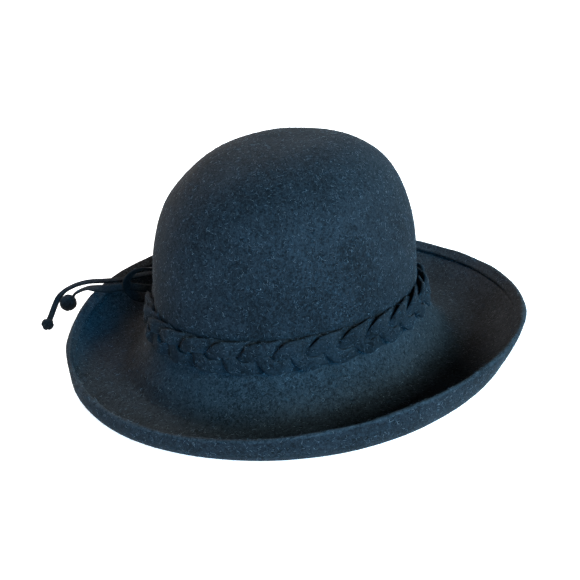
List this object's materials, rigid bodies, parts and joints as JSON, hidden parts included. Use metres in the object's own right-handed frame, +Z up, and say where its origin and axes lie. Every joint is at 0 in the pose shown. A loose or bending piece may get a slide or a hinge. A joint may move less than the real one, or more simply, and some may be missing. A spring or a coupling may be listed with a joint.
{
  "type": "wide-brim felt hat",
  "caption": "Felt hat with a round open crown, a wide brim that turns up at the rim, and a plaited felt band tied in a small bow with knotted ends.",
  "frame": {"origin": "on the surface that the hat lies on, below the middle of the rim's outline", "axes": "+X to the front along the hat's length, +Y to the wearer's left, where the bow is, +Z up"},
  "size_m": [0.3386, 0.3324, 0.1537],
  "materials": {
    "pressed_felt": "pressed wool felt with a short raised nap",
    "band_felt": "strips cut from soft felt, plaited",
    "bow_felt": "strips cut from soft felt, tied"
  },
  "bodies": {
    "root": {"felt_body": "pressed_felt", "braid_strand_1": "band_felt", "braid_strand_2": "band_felt", "braid_strand_3": "band_felt", "bow_wrap": "bow_felt", "bow_loop": "bow_felt", "tail_long": "bow_felt", "tail_short": "bow_felt", "tail_long_knot": "bow_felt", "tail_short_knot": "bow_felt"}
  },
  "joints": []
}
